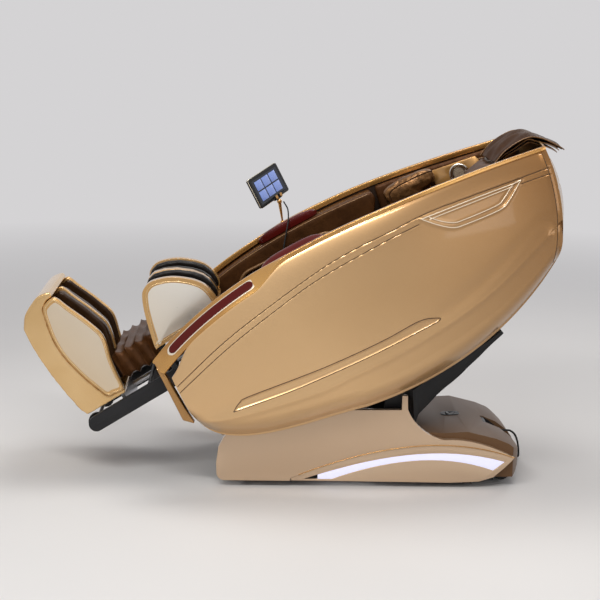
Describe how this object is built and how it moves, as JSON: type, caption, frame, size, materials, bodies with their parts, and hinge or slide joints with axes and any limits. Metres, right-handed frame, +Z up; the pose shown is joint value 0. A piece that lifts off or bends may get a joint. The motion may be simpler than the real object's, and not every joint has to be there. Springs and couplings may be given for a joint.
{
  "type": "massage chair",
  "caption": "Reclined zero-gravity massage chair: shell body on a tilting base, leg rest with foot unit, padded seat, arm tunnels and tablet.",
  "frame": {"origin": "on the floor, under the centre of the base, on the underside of the middle rubber foot", "axes": "+X towards the back of the chair, +Y towards the sitter's right, +Z up"},
  "size_m": [1.7657, 0.78, 1.1562],
  "materials": {
    "pearl_gold": "champagne pearl metallic paint on moulded panels",
    "pearl_beige": "beige pearl metallic paint on moulded covers",
    "rim_gold": "orange gold gloss paint",
    "maroon": "dark red gloss",
    "brown_leather": "brown synthetic leather, satin",
    "black_leather": "black synthetic leather",
    "black_steel": "black powder coat",
    "black_plastic": "black moulded plastic",
    "black_rubber": "black rubber",
    "bright_steel": "ground steel",
    "chrome": "polished",
    "led_white": "translucent diffuser, lit",
    "screen": "lit display behind cover glass"
  },
  "bodies": {
    "base": {"base_chassis": "black_steel", "rubber_feet": "black_rubber", "base_cover_left": "pearl_beige", "base_cover_right": "pearl_beige", "lower_panels": "pearl_beige", "led_strips": "led_white", "rear_deck": "pearl_beige", "inlet_socket": "black_plastic", "wheel_axle": "bright_steel", "pivot_shaft": "bright_steel", "tilt_boot": "black_leather", "inlet_connector": "black_rubber", "mains_cord": "black_rubber", "mains_coil": "black_rubber", "mains_plug": "black_rubber"},
    "switch_rocker": {"power_switch": "black_plastic"},
    "rear_wheels": {"transport_wheels": "black_rubber"},
    "recline_motor": {"actuator_tube": "black_steel"},
    "recline_rod": {"actuator_rod": "bright_steel"},
    "cradle": {"body_frame": "black_steel", "guide_rails": "bright_steel", "side_panel_left": "pearl_gold", "side_panel_right": "pearl_gold", "rim_trims": "rim_gold", "inset_strips": "maroon", "front_caps": "rim_gold", "armrest_left": "brown_leather", "armrest_right": "brown_leather", "arm_plates": "maroon", "side_liner_left": "brown_leather", "side_liner_right": "brown_leather", "speaker_pods": "pearl_gold", "speaker_rings": "chrome", "speaker_grilles": "black_plastic", "shoulder_airbag_left": "brown_leather", "shoulder_airbag_right": "brown_leather", "back_shell": "pearl_gold", "seat_cushion": "brown_leather", "back_pad": "brown_leather", "head_pillow": "brown_leather", "knee_shaft": "bright_steel", "tablet_clamp": "black_plastic", "tablet_cable": "black_rubber"},
    "back_carriage": {"massage_carriage": "bright_steel"},
    "back_rollers": {"massage_rollers": "brown_leather"},
    "leg_rest": {"leg_frame": "black_steel", "calf_flanks": "pearl_gold", "calf_divider": "pearl_gold", "calf_pads": "black_leather", "leg_bellows": "brown_leather"},
    "leg_wheels": {"rail_wheels": "black_rubber"},
    "foot_unit": {"foot_housing": "rim_gold", "foot_flanks": "pearl_gold", "foot_divider": "pearl_gold", "foot_liner": "maroon", "foot_slide": "bright_steel"},
    "sole_massager": {"sole_rollers": "black_leather"},
    "tablet_arm": {"tablet_stand": "rim_gold"},
    "tablet": {"tablet_case": "black_plastic", "tablet_screen": "screen"}
  },
  "joints": [
    {"name": "body_tilt", "type": "hinge", "parent": "base", "child": "cradle", "pos_m": [0.1, 0, 0.33], "axis": [0, -1, 0], "range_deg": [-4, 18], "deforming": ["tilt_boot"]},
    {"name": "actuator_pivot", "type": "hinge", "parent": "base", "child": "recline_motor", "pos_m": [0, 0, 0.08], "axis": [0, -1, 0], "range_deg": [-4.5, 17.5]},
    {"name": "actuator_stroke", "type": "slide", "parent": "recline_motor", "child": "recline_rod", "axis": [-0.7971, 0, 0.6039], "range_m": [-0.085, 0.02]},
    {"name": "leg_swing", "type": "hinge", "parent": "cradle", "child": "leg_rest", "pos_m": [-0.5, 0, 0.54], "axis": [0, 1, 0], "range_deg": [-30, 32]},
    {"name": "foot_extend", "type": "slide", "parent": "leg_rest", "child": "foot_unit", "axis": [-0.848, 0, -0.5299], "range_m": [-0.08, 0.1], "deforming": ["leg_bellows"]},
    {"name": "sole_roller_spin", "type": "hinge", "parent": "foot_unit", "child": "sole_massager", "pos_m": [-0.9448, 0, 0.33281], "axis": [0, 1, 0], "continuous": true},
    {"name": "rail_wheel_spin", "type": "hinge", "parent": "leg_rest", "child": "leg_wheels", "pos_m": [-0.87813, 0, 0.18462], "axis": [0, 1, 0], "continuous": true},
    {"name": "transport_wheel_spin", "type": "hinge", "parent": "base", "child": "rear_wheels", "pos_m": [0.47, 0, 0.031], "axis": [0, 1, 0], "continuous": true},
    {"name": "carriage_travel", "type": "slide", "parent": "cradle", "child": "back_carriage", "axis": [0.6947, 0, 0.7193], "range_m": [-0.18, 0.28]},
    {"name": "massage_roller_spin", "type": "hinge", "parent": "back_carriage", "child": "back_rollers", "pos_m": [0.18882, 0, 0.62745], "axis": [0, 1, 0], "continuous": true},
    {"name": "rocker_switch", "type": "hinge", "parent": "base", "child": "switch_rocker", "pos_m": [0.315, 0, 0.183], "axis": [0, -1, 0], "range_deg": [0, 12]},
    {"name": "tablet_swivel", "type": "hinge", "parent": "cradle", "child": "tablet_arm", "pos_m": [-0.264, 0.33, 0.792], "axis": [-0.1684, -0.0518, 0.9844], "range_deg": [-30, 30]},
    {"name": "tablet_tilt", "type": "hinge", "parent": "tablet_arm", "child": "tablet", "pos_m": [-0.277, 0.326, 0.868], "axis": [0.5675, 0.766, 0.3018], "range_deg": [-18, 18]}
  ],
  "couplings": [
    {"joint": "actuator_pivot", "follows": "body_tilt", "ratio": 0.9},
    {"joint": "actuator_stroke", "follows": "body_tilt", "m_per_rad": -0.2647}
  ]
}
